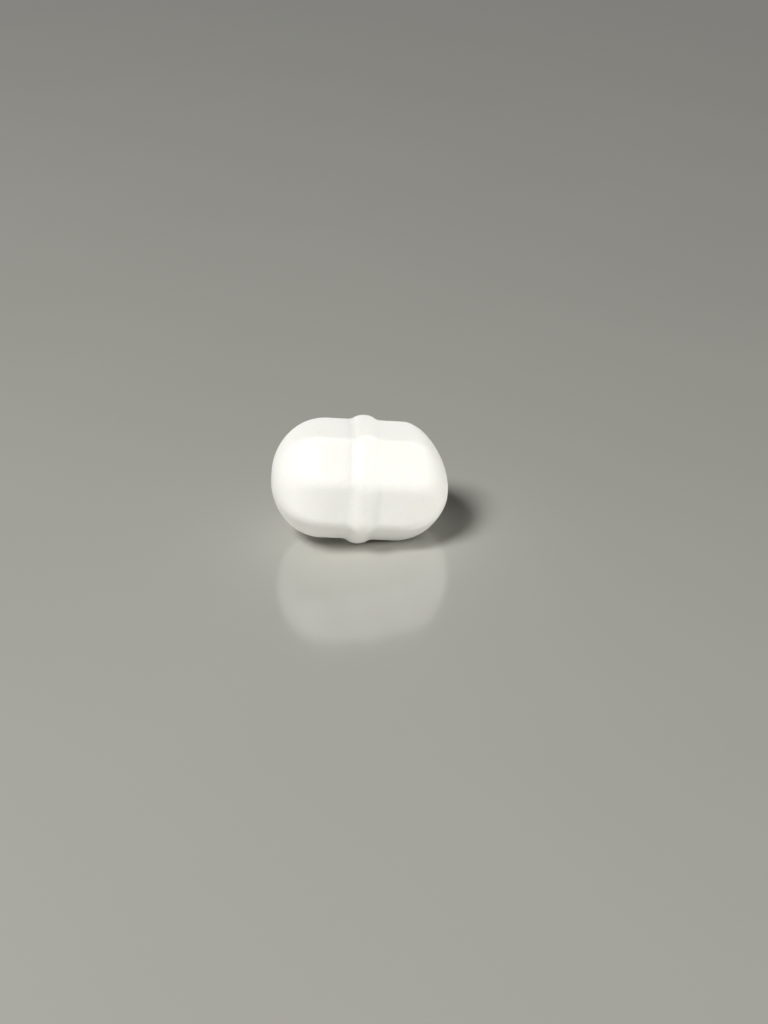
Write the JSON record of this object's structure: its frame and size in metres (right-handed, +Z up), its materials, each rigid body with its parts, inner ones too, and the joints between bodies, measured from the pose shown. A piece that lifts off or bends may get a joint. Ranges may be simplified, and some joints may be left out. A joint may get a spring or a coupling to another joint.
{
  "type": "magnetic stir bar",
  "caption": "Short octagonal magnetic stir bar with rounded ends and a pivot ring round its middle: a white plastic jacket moulded over a rod magnet, spun in a vessel by a magnetic stirrer.",
  "frame": {"origin": "on the surface that the bar rests on, under the middle of the bar", "axes": "+X along the bar towards the end that rests on the surface, +Y across the bar, +Z up"},
  "size_m": [0.0128, 0.0086, 0.0086],
  "materials": {
    "jacket_white": "white, slightly waxy and translucent, with a soft sheen",
    "magnet_metal": "cast and ground magnet alloy, dull grey"
  },
  "bodies": {
    "root": {"jacket": "jacket_white", "magnet_core": "magnet_metal"}
  },
  "joints": []
}
